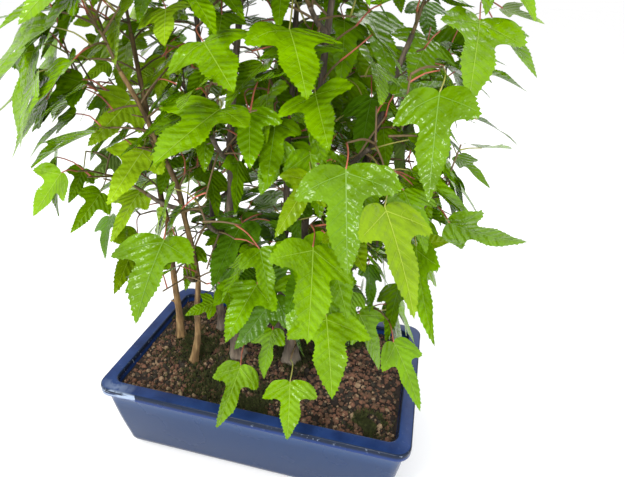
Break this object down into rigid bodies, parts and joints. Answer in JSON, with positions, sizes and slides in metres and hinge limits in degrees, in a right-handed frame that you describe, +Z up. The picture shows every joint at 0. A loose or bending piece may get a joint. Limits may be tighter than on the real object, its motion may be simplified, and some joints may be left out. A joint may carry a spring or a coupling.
{
  "type": "trident maple bonsai grove in a glazed pot",
  "caption": "Slender maple stems with tiers of three-lobed leaves, planted as a small grove in a low rectangular glazed pot.",
  "frame": {"origin": "centre of the pot's flat underside", "axes": "+X along the pot's length, -Y towards the pot's front, +Z up"},
  "size_m": [0.3315, 0.2478, 0.4175],
  "materials": {
    "glaze": "glossy cobalt blue glaze over stoneware, paler and greyer on the sides, breaking whitish grey at the lip's edge",
    "soil": "loose reddish-brown and dark grit of 3 to 5 mm with some moss",
    "bark": "grey-brown young maple bark, tan at the foot, finely ridged with knobbly nodes",
    "leaf": "glossy yellow-green three-lobed leaves with pale main veins on red-pink stalks"
  },
  "bodies": {
    "root": {"bough_tier1_1": "bark", "bough_tier1_2": "bark", "bough_tier1_3": "bark", "bough_tier1_4": "bark", "bough_tier1_5": "bark", "bough_tier2_1": "bark", "bough_tier2_2": "bark", "bough_tier2_3": "bark", "bough_tier2_4": "bark", "bough_tier2_5": "bark", "bough_tier2_6": "bark", "bough_tier2_7": "bark", "bough_tier3_1": "bark", "bough_tier3_2": "bark", "bough_tier3_3": "bark", "bough_tier3_4": "bark", "bough_tier3_5": "bark", "bough_tier3_6": "bark", "bough_tier4_1": "bark", "bough_tier4_2": "bark", "mass_tier1_1": "leaf", "mass_tier1_2": "leaf", "mass_tier1_3": "leaf", "mass_tier1_4": "leaf", "mass_tier1_5": "leaf", "mass_tier2_1": "leaf", "mass_tier2_2": "leaf", "mass_tier2_3": "leaf", "mass_tier2_4": "leaf", "mass_tier2_5": "leaf", "mass_tier2_6": "leaf", "mass_tier2_7": "leaf", "mass_tier3_1": "leaf", "mass_tier3_2": "leaf", "mass_tier3_3": "leaf", "mass_tier3_4": "leaf", "mass_tier3_5": "leaf", "mass_tier3_6": "leaf", "mass_tier4_1": "leaf", "mass_tier4_2": "leaf", "pot": "glaze", "soil": "soil", "spray_front": "leaf", "spray_left": "leaf", "spray_right": "leaf", "stem_a": "bark", "stem_b": "bark", "stem_c": "bark", "stem_d": "bark", "stem_e": "bark", "stem_f": "bark", "stem_g": "bark", "top_a": "leaf", "top_b": "leaf", "top_c": "leaf", "top_d": "leaf", "top_e": "leaf", "top_f": "leaf", "top_g": "leaf"}
  },
  "joints": []
}
